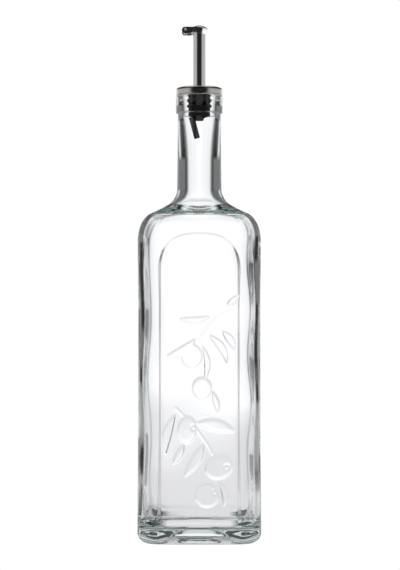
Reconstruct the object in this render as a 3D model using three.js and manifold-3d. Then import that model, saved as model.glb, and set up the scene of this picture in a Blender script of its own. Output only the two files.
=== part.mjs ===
// Square one-litre glass oil bottle with a flip-lid pourer.
// Millimetres, +Z up. The origin is on the bottle's axis, at the surface it stands on.
// The side with the raised olive sprigs faces -Y, and the pourer's lid opens towards +X.

import * as THREE from 'three';
import { mergeVertices } from 'three/addons/utils/BufferGeometryUtils.js';
import Module from 'manifold-3d';

const wasm = await Module();
wasm.setup();

// Driving dimensions of the bottle
const BODY_HALF = 40;
const BODY_CORNER = 12;
const WAIST_HALF = 39.6;
const WAIST_LOW_Z = 80;
const WAIST_HIGH_Z = 150;
const HEEL_RADIUS = 7.5;
const HEEL_CORNER_SHARE = 0.4;
const SHOULDER_START_Z = 196;
const SHOULDER_ARC_HALF = 27;
const SHOULDER_RISE = 20;
const SHOULDER_ARC_END = Math.asin(0.94);
const SHOULDER_THICKENING = 3;
const NECK_RADIUS_LOW = 14.85;
const NECK_RADIUS_TOP = 14.2;
const NECK_FILLET = 12.7;
const NECK_FILLET_ANGLE = THREE.MathUtils.degToRad(59);
const NECK_START_Z = 231.9;
const FINISH_BOTTOM_Z = 281.7;
const BOTTLE_TOP_Z = 293.3;
const FINISH_RADIUS = 15.5;
const MOUTH_RADIUS = 11.5;
const MOUTH_BOTTOM_Z = 280;
const MOUTH_STEP_Z = 290;
const MOUTH_STEP = 0.3;
const MOUTH_CHAMFER = 0.4;
const NECK_BORE = 9.5;
const NECK_BORE_TOP_Z = 250;
const NECK_FLARE_POWER = 1.6;
const WALL = 3.6;
const INNER_CORNER = 9;
const INNER_HEEL_RADIUS = 8;
const FLOOR_Z = 10.7;
const FLOOR_CROWN = 1.5;
const CROWN_HALF = 14;
const CROWN_CORNER = 9;
const CROWN_SHARE = 0.75;
const VAULT_CROWN = 8;
const VAULT_CROWN_HALF = 8;
const VAULT_FOOT = 2.5;
const VAULT_SINK = 1;
const BEARING_INNER = 30;
const BEARING_CORNER = 9.5;

// Recessed panel on each of the four faces
const PANEL_HALF = 26.8;
const PANEL_BOTTOM_Z = 14.7;
const PANEL_ARCH_Z = 174.5;
const PANEL_ARCH_RISE = 27.3;
const PANEL_ARCH_POWER = 2.5;
const PANEL_DEPTH = 0.9;
const PANEL_BEVEL = 2.6;
const PANEL_FOOT_RADIUS = 4;

// Raised sprigs on the front panel
const LEAF_HEIGHT = 0.7;
const OLIVE_HEIGHT = 0.8;
const STEM_RADIUS = 0.55;
const RELIEF_SINK = 0.5;

// Pourer
const FLANGE_RADIUS = 15.5;
const FLANGE_BOTTOM_Z = 293.6;
const FLANGE_TOP_Z = 299;
const FLANGE_ROUND = 1.8;
const TUBE_RADIUS = 4.2;
const TUBE_BORE = 3.6;
const TUBE_BOTTOM_Z = 284;
const TUBE_TOP_Z = 338;
const LIP_CUT_Z = 334.9;
const LIP_CUT_X = 2.2;
const FIT_GAP = 0.3;
const PLUG_TOP_Z = 293.3;
const PLUG_BOTTOM_Z = 280.6;
const PLUG_RIB_RADIUS = 8.4;
const PLUG_RIB_DROP = 3.3;
const PLUG_RIB_PITCH = 3.2;
const PLUG_RIB_RISE = 1.5;
const PLUG_VALLEY_RADIUS = 7.05;
const PLUG_FOOT_Z = 284.2;
const PLUG_GROOVE_RADIUS = 6.5;
const PLUG_RIM_RADIUS = 7.35;
const PLUG_NOSE_Z = 276.4;
const PLUG_NOSE_RADIUS = 2.8;
const PLUG_INLET = 1.6;
const AIR_TUBE_RADIUS = 1.95;
const AIR_TUBE_BORE = 1.1;
const AIR_TUBE_TOP = new THREE.Vector3(-5.2, 0, 279.6);
const AIR_TUBE_END = new THREE.Vector3(-1.4, 0, 264.9);
const AIR_TUBE_TIP = 0.5;
const AIR_TUBE_OPEN_FROM = 2;

// Flip lid
const PIVOT = new THREE.Vector3(-3.2, 0, 336.6);
const PIN_RADIUS = 0.7;
const PIN_HEAD_RADIUS = 1.15;
const PIN_HEAD_INNER = 5.3;
const PIN_HEAD_OUTER = 5.7;
const PLATE_INNER = 4.5;
const PLATE_OUTER = 5.0;
const PLATE_HOLE = 1.0;
const LEVER_END_X = -11.6;
const LEVER_BOTTOM_Z = 334.9;
const LEVER_TOP_Z = 339.35;
const LEVER_BOTTOM_END_X = -5.6;
const EAR_START_X = -4.6;
const EAR_END_X = 2.1;
const EAR_BOTTOM_Z = 335.6;
const LEVER_SKIN = 0.55;
const ROOF_START_X = -10.6;
const ROOF_END_X = -3;
const BRIDGE = { length: 1.8, width: 8, height: 0.75, x: -3.9 };
const LID_RADIUS = 5.25;
const LID_RIM = 0.5;
const LID_RISE = 1.85;
const LID_CENTRE = new THREE.Vector3(0.47, 0, 338.55);
const LID_TILT = THREE.MathUtils.degToRad(5);
const RIVET_X = -9.2;
const RIVET_Z = 337.7;
const RIVET_RADIUS = 1.1;
const RIVET_HOLE = 0.5;
const RIVET_LENGTH = 1.3;

// Glass, steel and rubber
const glassMaterial = new THREE.MeshStandardMaterial({
  color: 0xe4efec, roughness: 0.03, metalness: 0, transparent: true, opacity: 0.35,
});
const steelMaterial = new THREE.MeshStandardMaterial({ color: 0xb4aeab, roughness: 0.32, metalness: 1 });
const chromeMaterial = new THREE.MeshStandardMaterial({ color: 0xd4d6d8, roughness: 0.1, metalness: 1 });
const rubberMaterial = new THREE.MeshStandardMaterial({ color: 0x0d0d0e, roughness: 0.55, metalness: 0 });
const ventMaterial = new THREE.MeshStandardMaterial({ color: 0x2b2b2c, roughness: 0.5, metalness: 0 });

// Solids: geometry to manifold and back
function toSolid(geometry) {
  const bare = geometry.clone();
  bare.deleteAttribute('normal');
  bare.deleteAttribute('uv');
  const merged = mergeVertices(bare, 1e-4);
  return new wasm.Manifold(new wasm.Mesh({
    numProp: 3,
    vertProperties: new Float32Array(merged.attributes.position.array),
    triVerts: new Uint32Array(merged.index.array),
  }));
}

function toGeometry(solid) {
  const mesh = solid.getMesh();
  const geometry = new THREE.BufferGeometry();
  geometry.setAttribute('position', new THREE.BufferAttribute(mesh.vertProperties, 3));
  geometry.setIndex(new THREE.BufferAttribute(mesh.triVerts, 1));
  geometry.computeVertexNormals();
  return geometry;
}

function joined(solids) {
  return solids.reduce((whole, solid) => whole.add(solid));
}

// Angles of one ring: even on the flats and closer together round each corner
const QUADRANT_DEGREES = [0, 9, 18, 27, 35, 40, 45, 50, 55, 63, 72, 81];
const RING_ANGLES = [0, 1, 2, 3].flatMap(
  (quadrant) => QUADRANT_DEGREES.map((degrees) => THREE.MathUtils.degToRad(degrees + 90 * quadrant)),
);

// Distance from the axis to a rounded square, in the direction of an angle
function squareRadius(angle, half, corner) {
  const c = Math.max(Math.abs(Math.cos(angle)), Math.abs(Math.sin(angle)));
  const s = Math.min(Math.abs(Math.cos(angle)), Math.abs(Math.sin(angle)));
  const flat = half / c;
  const core = half - corner;
  if (flat * s <= core) return flat;
  const along = core * (c + s);
  return along + Math.sqrt(along * along - (2 * core * core - corner * corner));
}

// Closed solid through a stack of rings { half, corner, z }, with a point on the axis at each end
function loft(rings, startZ, endZ) {
  const count = RING_ANGLES.length;
  const positions = [0, 0, startZ];
  for (const ring of rings) {
    for (const angle of RING_ANGLES) {
      const radius = squareRadius(angle, ring.half, ring.corner);
      positions.push(radius * Math.cos(angle), radius * Math.sin(angle), ring.z);
    }
  }
  positions.push(0, 0, endZ);
  const last = rings.length * count + 1;
  const faces = [];
  for (let i = 0; i < count; i += 1) {
    const next = (i + 1) % count;
    faces.push(0, 1 + next, 1 + i);
    for (let k = 0; k + 1 < rings.length; k += 1) {
      const low = 1 + k * count;
      const high = low + count;
      faces.push(low + i, low + next, high + next);
      faces.push(low + i, high + next, high + i);
    }
    const top = 1 + (rings.length - 1) * count;
    faces.push(top + i, top + next, last);
  }
  const geometry = new THREE.BufferGeometry();
  geometry.setAttribute('position', new THREE.Float32BufferAttribute(positions, 3));
  geometry.setIndex(faces);
  return geometry;
}

// Plan corner radius of a ring in the shoulder, from a circle at the neck to the body's corner
function blendedCorner(half, circleHalf, fullHalf, fullCorner) {
  const t = THREE.MathUtils.smoothstep(half, circleHalf, fullHalf);
  return THREE.MathUtils.lerp(half, fullCorner, t);
}

// Shoulder, from the body up to the neck: an elliptic arc, a straight slope and a fillet
function shoulderRings({ half, corner, rise, neckRadius, fillet, arcSteps, filletSteps }) {
  const rings = [];
  for (let k = 0; k <= arcSteps; k += 1) {
    const a = (SHOULDER_ARC_END * k) / arcSteps;
    const ringHalf = SHOULDER_ARC_HALF + (half - SHOULDER_ARC_HALF) * Math.cos(a);
    rings.push({ half: ringHalf, z: SHOULDER_START_Z + rise * Math.sin(a) });
  }
  for (let k = 0; k <= filletSteps; k += 1) {
    const a = NECK_FILLET_ANGLE * (1 - k / filletSteps);
    rings.push({
      half: neckRadius + fillet * (1 - Math.cos(a)),
      z: NECK_START_Z - fillet * Math.sin(a),
    });
  }
  return rings.map((ring) => ({ ...ring, corner: blendedCorner(ring.half, neckRadius, half, corner) }));
}

// Rounded bottom edge, whose plan corners tighten as it curves under
function heelRings(half, corner, radius, lowZ, steps) {
  const rings = [];
  for (let k = 0; k <= steps; k += 1) {
    const a = (Math.PI / 2) * (k / steps);
    const inset = radius * (1 - Math.sin(a));
    rings.push({
      half: half - inset,
      corner: corner - HEEL_CORNER_SHARE * inset,
      z: lowZ + radius * (1 - Math.cos(a)),
    });
  }
  return rings;
}

function outerGlass() {
  const rings = heelRings(BODY_HALF, BODY_CORNER, HEEL_RADIUS, 0, 4);
  rings.push({ half: WAIST_HALF, corner: BODY_CORNER, z: WAIST_LOW_Z });
  rings.push({ half: WAIST_HALF, corner: BODY_CORNER, z: WAIST_HIGH_Z });
  rings.push(...shoulderRings({
    half: BODY_HALF,
    corner: BODY_CORNER,
    rise: SHOULDER_RISE,
    neckRadius: NECK_RADIUS_LOW,
    fillet: NECK_FILLET,
    arcSteps: 5,
    filletSteps: 4,
  }));
  const turned = [
    [NECK_RADIUS_TOP, FINISH_BOTTOM_Z],
    [FINISH_RADIUS - 0.6, FINISH_BOTTOM_Z + 0.1],
    [FINISH_RADIUS - 0.1, FINISH_BOTTOM_Z + 0.9],
    [FINISH_RADIUS, FINISH_BOTTOM_Z + 1.8],
    [FINISH_RADIUS, BOTTLE_TOP_Z - 0.9],
    [FINISH_RADIUS - 0.3, BOTTLE_TOP_Z - 0.3],
    [FINISH_RADIUS - 0.9, BOTTLE_TOP_Z],
  ];
  for (const [radius, z] of turned) rings.push({ half: radius, corner: radius, z });
  return toSolid(loft(rings, 0, BOTTLE_TOP_Z)).subtract(baseVault());
}

// Recess under the base: two crossing roofs inside the rim that the bottle stands on
function baseVault() {
  const roof = new THREE.Shape([
    new THREE.Vector2(-BEARING_INNER, -VAULT_SINK),
    new THREE.Vector2(BEARING_INNER, -VAULT_SINK),
    new THREE.Vector2(BEARING_INNER, VAULT_FOOT),
    new THREE.Vector2(VAULT_CROWN_HALF, VAULT_CROWN),
    new THREE.Vector2(-VAULT_CROWN_HALF, VAULT_CROWN),
    new THREE.Vector2(-BEARING_INNER, VAULT_FOOT),
  ]);
  const geometry = new THREE.ExtrudeGeometry(roof, { depth: 2 * BEARING_INNER, bevelEnabled: false });
  const along = toSolid(geometry).rotate([90, 0, 0]).translate([0, BEARING_INNER, 0]);
  const plan = { half: BEARING_INNER, corner: BEARING_CORNER };
  const rim = toSolid(loft([
    { ...plan, z: -VAULT_SINK },
    { ...plan, z: VAULT_CROWN + VAULT_SINK },
  ], -VAULT_SINK, VAULT_CROWN + VAULT_SINK));
  return along.add(along.rotate([0, 0, 90])).intersect(rim);
}

// The hollow inside the bottle, cut out of the outer form
function innerHollow() {
  const innerHalf = BODY_HALF - WALL;
  const rings = [{ half: CROWN_HALF, corner: CROWN_CORNER, z: FLOOR_Z + FLOOR_CROWN * CROWN_SHARE }];
  rings.push(...heelRings(innerHalf, INNER_CORNER, INNER_HEEL_RADIUS, FLOOR_Z, 3));
  rings.push(...shoulderRings({
    half: innerHalf,
    corner: INNER_CORNER,
    rise: SHOULDER_RISE - SHOULDER_THICKENING,
    neckRadius: NECK_BORE,
    fillet: NECK_FILLET + NECK_RADIUS_LOW - NECK_BORE,
    arcSteps: 4,
    filletSteps: 4,
  }));
  const turned = [
    ...[0, 0.35, 0.7, 1].map((t) => [
      THREE.MathUtils.lerp(NECK_BORE, MOUTH_RADIUS, t ** NECK_FLARE_POWER),
      THREE.MathUtils.lerp(NECK_BORE_TOP_Z, MOUTH_BOTTOM_Z, t),
    ]),
    [MOUTH_RADIUS, MOUTH_STEP_Z],
    [MOUTH_RADIUS + MOUTH_STEP, MOUTH_STEP_Z + MOUTH_STEP],
    [MOUTH_RADIUS + MOUTH_STEP, BOTTLE_TOP_Z - MOUTH_CHAMFER],
    [MOUTH_RADIUS + MOUTH_STEP + MOUTH_CHAMFER, BOTTLE_TOP_Z],
    [MOUTH_RADIUS + MOUTH_STEP + MOUTH_CHAMFER, BOTTLE_TOP_Z + 2],
  ];
  for (const [radius, z] of turned) rings.push({ half: radius, corner: radius, z });
  return toSolid(loft(rings, FLOOR_Z + FLOOR_CROWN, BOTTLE_TOP_Z + 2));
}

// Panel outline: straight sides, rounded foot and a super-elliptic arch
function panelOutline(inset) {
  const half = PANEL_HALF - inset;
  const rise = PANEL_ARCH_RISE - inset;
  const foot = PANEL_BOTTOM_Z + inset;
  const shape = new THREE.Shape();
  shape.moveTo(-half + PANEL_FOOT_RADIUS, foot);
  shape.lineTo(half - PANEL_FOOT_RADIUS, foot);
  shape.lineTo(half - 0.3 * PANEL_FOOT_RADIUS, foot + 0.3 * PANEL_FOOT_RADIUS);
  shape.lineTo(half, foot + PANEL_FOOT_RADIUS);
  const steps = 16;
  for (let k = 0; k <= steps; k += 1) {
    const a = (Math.PI * k) / steps;
    const c = Math.cos(a);
    const x = half * Math.sign(c) * Math.abs(c) ** (2 / PANEL_ARCH_POWER);
    shape.lineTo(x, PANEL_ARCH_Z + rise * Math.sin(a) ** (2 / PANEL_ARCH_POWER));
  }
  shape.lineTo(-half, foot + PANEL_FOOT_RADIUS);
  shape.lineTo(-half + 0.3 * PANEL_FOOT_RADIUS, foot + 0.3 * PANEL_FOOT_RADIUS);
  shape.closePath();
  return shape.getPoints(1);
}

// Cutter that sinks the panel into the face at -Y, with sloping sides
function panelCutter() {
  const wide = panelOutline(0);
  const narrow = panelOutline(PANEL_BEVEL);
  const depth = 1;
  const geometry = new THREE.ExtrudeGeometry(new THREE.Shape(wide), { depth, bevelEnabled: false });
  const position = geometry.attributes.position;
  for (let i = 0; i < position.count; i += 1) {
    const x = position.getX(i);
    const z = position.getY(i);
    const deep = position.getZ(i) < depth / 2;
    const at = wide.findIndex((point) => Math.hypot(point.x - x, point.y - z) < 1e-4);
    const point = deep ? narrow[at] : wide[at];
    position.setXYZ(i, point.x, deep ? -BODY_HALF + PANEL_DEPTH : -BODY_HALF - 0.02, point.y);
  }
  return toSolid(geometry);
}

// Raised sprigs. Places on the front panel are [across, height].
const LEAVES = [
  { base: [25, 160.5], tip: [17.5, 154], bow: 0.8, width: 4.5 },
  { base: [7.5, 147], tip: [-14, 145.5], bow: 2, width: 4.6 },
  { base: [-2, 133], tip: [-22, 121], bow: 2.6, width: 6 },
  { base: [1, 129], tip: [2.5, 104], bow: 3.4, width: 4.2 },
  { base: [5.5, 135], tip: [18, 116], bow: 2.8, width: 5.4 },
  { base: [14.5, 137.5], tip: [23, 125], bow: 1.2, width: 5.4 },
  { base: [8, 99], tip: [12, 84], bow: 0.8, width: 4.2 },
  { base: [-15, 84], tip: [-21.4, 58], bow: -2.4, width: 6.2 },
  { base: [-1.5, 78.5], tip: [23, 73], bow: 1, width: 8 },
  { base: [-9.8, 65], tip: [-17, 52], bow: 0.6, width: 5 },
  { base: [3, 65], tip: [-9.5, 44], bow: 0.8, width: 7 },
  { base: [11.5, 41.5], tip: [15.2, 24.5], bow: 3, width: 4.6 },
];
const OLIVES = [
  { centre: [-4.9, 121.3], size: [13.5, 15.4], turn: 0 },
  { centre: [1.7, 100.7], size: [12.6, 14.2], turn: 0 },
  { centre: [-7.9, 73.8], size: [12.2, 17.3], turn: -8 },
  { centre: [12.7, 50], size: [18.3, 15], turn: 20 },
  { centre: [4.9, 32], size: [15.4, 15.4], turn: 0 },
];
const STEMS = [
  [[20, 152], [13, 149], [7.5, 144.5], [3, 138], [-0.5, 131.5]],
  [[-15, 88], [-9.2, 82], [-0.8, 73], [6.2, 63], [8.4, 58.5]],
];

const PANEL_Y = -BODY_HALF + PANEL_DEPTH;

// A leaf: pointed at both ends, bowed to one side, with a ridge along its middle
function leafBump({ base, tip, bow, width }) {
  const stations = 7;
  const along = new THREE.Vector2(tip[0] - base[0], tip[1] - base[1]);
  const side = new THREE.Vector2(-along.y, along.x).normalize();
  const point = (t, offset, height) => {
    const shift = bow * 4 * t * (1 - t) + offset;
    return [base[0] + along.x * t + side.x * shift, PANEL_Y - height, base[1] + along.y * t + side.y * shift];
  };
  const positions = [...point(0, 0, -RELIEF_SINK)];
  for (let k = 1; k < stations; k += 1) {
    const t = k / stations;
    const reach = (width / 2) * Math.sin(Math.PI * t) ** 0.8;
    positions.push(...point(t, -reach, -RELIEF_SINK));
    positions.push(...point(t, -0.72 * reach, LEAF_HEIGHT * 0.75));
    positions.push(...point(t, 0, LEAF_HEIGHT));
    positions.push(...point(t, 0.72 * reach, LEAF_HEIGHT * 0.75));
    positions.push(...point(t, reach, -RELIEF_SINK));
  }
  positions.push(...point(1, 0, -RELIEF_SINK));
  const end = 1 + (stations - 1) * 5;
  const faces = [];
  for (let j = 0; j < 5; j += 1) {
    const next = (j + 1) % 5;
    faces.push(0, 1 + j, 1 + next);
    for (let k = 0; k + 2 < stations; k += 1) {
      const a = 1 + k * 5;
      const b = a + 5;
      faces.push(a + j, b + j, b + next);
      faces.push(a + j, b + next, a + next);
    }
    faces.push(end, end - 5 + next, end - 5 + j);
  }
  const geometry = new THREE.BufferGeometry();
  geometry.setAttribute('position', new THREE.Float32BufferAttribute(positions, 3));
  geometry.setIndex(faces);
  return toSolid(geometry);
}

function oliveBump({ centre, size, turn }) {
  const geometry = new THREE.SphereGeometry(1, 18, 8);
  geometry.rotateX(Math.PI / 2);
  geometry.scale(size[0] / 2, size[1] / 2, OLIVE_HEIGHT + RELIEF_SINK);
  geometry.rotateZ(THREE.MathUtils.degToRad(turn));
  geometry.rotateX(Math.PI / 2);
  geometry.translate(centre[0], PANEL_Y + RELIEF_SINK, centre[1]);
  return toSolid(geometry);
}

function stemBump(points) {
  const path = new THREE.CatmullRomCurve3(points.map(([x, z]) => new THREE.Vector3(x, PANEL_Y, z)));
  const section = new THREE.Shape();
  section.absarc(0, 0, STEM_RADIUS, 0, 2 * Math.PI);
  return toSolid(new THREE.ExtrudeGeometry(section, { steps: 8, curveSegments: 3, extrudePath: path }));
}

function bottleGeometry() {
  let glass = outerGlass().subtract(innerHollow());
  const cutter = panelCutter();
  for (const quarter of [0, 90, 180, 270]) glass = glass.subtract(cutter.rotate([0, 0, quarter]));
  const relief = [...LEAVES.map(leafBump), ...OLIVES.map(oliveBump), ...STEMS.map(stemBump)];
  return toGeometry(glass.add(joined(relief)));
}

// Turned parts of the pourer
function turnedGeometry(profile, segments) {
  const points = profile.map(([radius, z]) => new THREE.Vector2(radius, z));
  const geometry = new THREE.LatheGeometry(points, segments);
  geometry.rotateX(Math.PI / 2);
  return geometry;
}

function cylinder(radius, low, high, segments) {
  return turnedGeometry([[0, low], [radius, low], [radius, high], [0, high]], segments);
}

function flangeGeometry() {
  const hole = TUBE_RADIUS + FIT_GAP;
  const profile = [
    [hole, FLANGE_BOTTOM_Z],
    [FLANGE_RADIUS - 0.3, FLANGE_BOTTOM_Z],
    [FLANGE_RADIUS, FLANGE_BOTTOM_Z + 0.3],
  ];
  const steps = 4;
  for (let k = 0; k <= steps; k += 1) {
    const a = (Math.PI / 2) * (k / steps);
    const radius = FLANGE_RADIUS - FLANGE_ROUND * (1 - Math.cos(a));
    profile.push([radius, FLANGE_TOP_Z - FLANGE_ROUND * (1 - Math.sin(a))]);
  }
  profile.push([hole, FLANGE_TOP_Z + 0.25]);
  profile.push([hole, FLANGE_BOTTOM_Z]);
  return turnedGeometry(profile, 48);
}

// Ribbed plug: a collar, two saw-toothed ribs, a groove, a rim and a conical nose, bored for the tube
function plugGeometry() {
  const bore = TUBE_RADIUS + FIT_GAP;
  const profile = [
    [bore, PLUG_TOP_Z],
    [PLUG_RIB_RADIUS - 0.6, PLUG_TOP_Z],
  ];
  for (let rib = 0; rib < 2; rib += 1) {
    const z = PLUG_TOP_Z - PLUG_RIB_DROP - rib * PLUG_RIB_PITCH;
    profile.push([PLUG_VALLEY_RADIUS, z + PLUG_RIB_RISE]);
    profile.push([PLUG_RIB_RADIUS, z + 0.2], [PLUG_RIB_RADIUS, z - 0.2]);
  }
  profile.push([PLUG_VALLEY_RADIUS, PLUG_FOOT_Z + 1.2]);
  profile.push([PLUG_VALLEY_RADIUS + 0.2, PLUG_FOOT_Z]);
  profile.push([PLUG_GROOVE_RADIUS, PLUG_FOOT_Z - 0.15]);
  profile.push([PLUG_GROOVE_RADIUS, PLUG_FOOT_Z - 0.75]);
  profile.push([PLUG_RIM_RADIUS, PLUG_FOOT_Z - 1.1]);
  profile.push([PLUG_RIM_RADIUS, PLUG_BOTTOM_Z]);
  profile.push([PLUG_NOSE_RADIUS + 0.6, PLUG_BOTTOM_Z - 1.7]);
  profile.push([PLUG_NOSE_RADIUS, PLUG_NOSE_Z + 0.6]);
  profile.push([PLUG_NOSE_RADIUS - 0.6, PLUG_NOSE_Z]);
  profile.push([PLUG_INLET, PLUG_NOSE_Z]);
  profile.push([PLUG_INLET, TUBE_BOTTOM_Z - FIT_GAP]);
  profile.push([bore, TUBE_BOTTOM_Z - FIT_GAP]);
  profile.push([bore, PLUG_TOP_Z]);
  const plug = toSolid(turnedGeometry(profile.reverse(), 32));
  return toGeometry(plug.subtract(airTubeSolid(AIR_TUBE_RADIUS + FIT_GAP, 0, 1)));
}

// Slanting vent tube under the plug, open at its lower end
function airTubeSolid(radius, bore, extraTop) {
  const axis = AIR_TUBE_END.clone().sub(AIR_TUBE_TOP);
  const length = axis.length();
  const tip = AIR_TUBE_TIP;
  const profile = [[0, -extraTop], [radius, -extraTop], [radius, length - tip], [radius - tip, length]];
  if (bore > 0) profile.push([bore, length], [bore, AIR_TUBE_OPEN_FROM], [0, AIR_TUBE_OPEN_FROM]);
  else profile.push([0, length]);
  const geometry = turnedGeometry(profile, 20);
  const turn = new THREE.Quaternion().setFromUnitVectors(new THREE.Vector3(0, 0, 1), axis.normalize());
  geometry.applyQuaternion(turn);
  geometry.translate(AIR_TUBE_TOP.x, AIR_TUBE_TOP.y, AIR_TUBE_TOP.z);
  return toSolid(geometry);
}

function crossPin(radius, low, high, x, z, segments) {
  const geometry = cylinder(radius, low, high, segments);
  geometry.rotateX(-Math.PI / 2);
  geometry.translate(x, 0, z);
  return toSolid(geometry);
}

// Spout tube: open at both ends, with its pouring side cut lower, and drilled for the pin
function spoutGeometry() {
  const tube = toSolid(turnedGeometry([
    [TUBE_BORE, TUBE_BOTTOM_Z],
    [TUBE_RADIUS, TUBE_BOTTOM_Z],
    [TUBE_RADIUS, TUBE_TOP_Z],
    [TUBE_BORE, TUBE_TOP_Z],
    [TUBE_BORE, TUBE_BOTTOM_Z],
  ], 32));
  const lip = new THREE.BoxGeometry(6, 12, 8);
  lip.translate(LIP_CUT_X + 3, 0, LIP_CUT_Z + 4);
  const drill = crossPin(PLATE_HOLE, -6, 6, PIVOT.x, PIVOT.z, 12);
  return toGeometry(tube.subtract(toSolid(lip)).subtract(drill));
}

function pinGeometry() {
  const shaft = crossPin(PIN_RADIUS, -PIN_HEAD_OUTER, PIN_HEAD_OUTER, PIVOT.x, PIVOT.z, 16);
  const nearHead = crossPin(PIN_HEAD_RADIUS, -PIN_HEAD_OUTER, -PIN_HEAD_INNER, PIVOT.x, PIVOT.z, 16);
  const farHead = crossPin(PIN_HEAD_RADIUS, PIN_HEAD_INNER, PIN_HEAD_OUTER, PIVOT.x, PIVOT.z, 16);
  return toGeometry(joined([shaft, nearHead, farHead]));
}

// Side plate of the flip lid, from the lever's rounded end to the ear beside the tube
function sidePlate() {
  const leverRadius = (LEVER_TOP_Z - LEVER_BOTTOM_Z) / 2;
  const earRadius = (LEVER_TOP_Z - EAR_BOTTOM_Z) / 2;
  const shape = new THREE.Shape();
  const endX = LEVER_END_X + leverRadius;
  shape.absarc(endX, LEVER_BOTTOM_Z + leverRadius, leverRadius, Math.PI / 2, 1.5 * Math.PI);
  shape.lineTo(LEVER_BOTTOM_END_X, LEVER_BOTTOM_Z);
  shape.lineTo(EAR_START_X, EAR_BOTTOM_Z);
  shape.absarc(EAR_END_X - earRadius, EAR_BOTTOM_Z + earRadius, earRadius, -Math.PI / 2, Math.PI / 2);
  const geometry = new THREE.ExtrudeGeometry(shape, {
    depth: PLATE_OUTER - PLATE_INNER,
    bevelEnabled: false,
    curveSegments: 8,
  });
  geometry.rotateX(Math.PI / 2);
  geometry.translate(0, -PLATE_INNER, 0);
  return toSolid(geometry);
}

function lidDome() {
  const sphere = (LID_RADIUS * LID_RADIUS + LID_RISE * LID_RISE) / (2 * LID_RISE);
  const edge = Math.asin(LID_RADIUS / sphere);
  const profile = [[0, 0], [LID_RADIUS - 0.25, 0], [LID_RADIUS, 0.15]];
  const steps = 5;
  for (let k = 0; k <= steps; k += 1) {
    const a = edge * (1 - k / steps);
    profile.push([k === steps ? 0 : sphere * Math.sin(a), LID_RIM + LID_RISE - sphere * (1 - Math.cos(a))]);
  }
  const geometry = turnedGeometry(profile, 32);
  geometry.rotateY(LID_TILT);
  geometry.translate(LID_CENTRE.x, LID_CENTRE.y, LID_CENTRE.z);
  return toSolid(geometry);
}

// Flip lid: a folded lever with an ear on each side of the tube, joined to the domed lid by a bridge
function flapGeometry() {
  const near = sidePlate();
  const far = near.mirror([0, 1, 0]);
  const roof = new THREE.BoxGeometry(ROOF_END_X - ROOF_START_X, 2 * PLATE_OUTER, LEVER_SKIN);
  roof.translate((ROOF_END_X + ROOF_START_X) / 2, 0, LEVER_TOP_Z - LEVER_SKIN / 2);
  const bridge = new THREE.BoxGeometry(BRIDGE.length, BRIDGE.width, BRIDGE.height);
  bridge.translate(BRIDGE.x, 0, LEVER_TOP_Z - LEVER_SKIN + BRIDGE.height / 2);
  const whole = joined([near, far, toSolid(roof), toSolid(bridge), lidDome()]);
  const pivotHole = crossPin(PLATE_HOLE, -7, 7, PIVOT.x, PIVOT.z, 16);
  const rivetHole = crossPin(RIVET_RADIUS + FIT_GAP, -7, 7, RIVET_X, RIVET_Z, 16);
  return toGeometry(whole.subtract(pivotHole).subtract(rivetHole));
}

// Eyelet through one side plate of the lever
function eyeletGeometry(side) {
  const centre = side * (PLATE_INNER + PLATE_OUTER) / 2;
  const low = centre - RIVET_LENGTH / 2;
  const high = centre + RIVET_LENGTH / 2;
  const body = crossPin(RIVET_RADIUS, low, high, RIVET_X, RIVET_Z, 16);
  const hole = crossPin(RIVET_HOLE, low - 1, high + 1, RIVET_X, RIVET_Z, 12);
  return toGeometry(body.subtract(hole));
}

function named(name, geometry, material) {
  const mesh = new THREE.Mesh(geometry, material);
  mesh.name = name;
  return mesh;
}

const cruet = new THREE.Group();
cruet.add(named('bottle', bottleGeometry(), glassMaterial));

const pourer = new THREE.Group();
pourer.add(named('flange', flangeGeometry(), steelMaterial));
pourer.add(named('plug', plugGeometry(), rubberMaterial));
pourer.add(named('air_tube', toGeometry(airTubeSolid(AIR_TUBE_RADIUS, AIR_TUBE_BORE, 0)), ventMaterial));
pourer.add(named('spout_tube', spoutGeometry(), steelMaterial));
pourer.add(named('hinge_pin', pinGeometry(), steelMaterial));
cruet.add(pourer);

const flap = new THREE.Group();
flap.add(named('flap', flapGeometry(), chromeMaterial));
flap.add(named('eyelet_near', eyeletGeometry(-1), steelMaterial));
flap.add(named('eyelet_far', eyeletGeometry(1), steelMaterial));
cruet.add(flap);

export default cruet;
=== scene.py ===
import math

import bpy
import numpy as np
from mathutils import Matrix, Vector


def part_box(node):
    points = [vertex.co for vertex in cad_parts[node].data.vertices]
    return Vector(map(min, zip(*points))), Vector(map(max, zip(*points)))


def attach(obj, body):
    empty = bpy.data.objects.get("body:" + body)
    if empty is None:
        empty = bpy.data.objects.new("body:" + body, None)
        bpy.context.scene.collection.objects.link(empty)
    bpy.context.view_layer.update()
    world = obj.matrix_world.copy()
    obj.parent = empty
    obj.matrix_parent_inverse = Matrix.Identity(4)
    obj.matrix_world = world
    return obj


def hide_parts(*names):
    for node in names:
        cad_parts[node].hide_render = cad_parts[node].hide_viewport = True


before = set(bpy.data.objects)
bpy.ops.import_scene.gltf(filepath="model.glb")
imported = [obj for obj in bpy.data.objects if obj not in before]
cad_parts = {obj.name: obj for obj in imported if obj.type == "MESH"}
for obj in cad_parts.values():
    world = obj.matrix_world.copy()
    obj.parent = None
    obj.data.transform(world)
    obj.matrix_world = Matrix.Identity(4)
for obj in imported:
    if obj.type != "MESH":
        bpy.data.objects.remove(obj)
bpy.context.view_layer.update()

# Sizes are written in millimetres and scaled to Blender's metres when a mesh is made.
MM = 0.001


def node_box(name):
    """A CAD node's lowest and highest corners, in millimetres."""
    low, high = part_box(name)
    return [v / MM for v in low], [v / MM for v in high]


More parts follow.
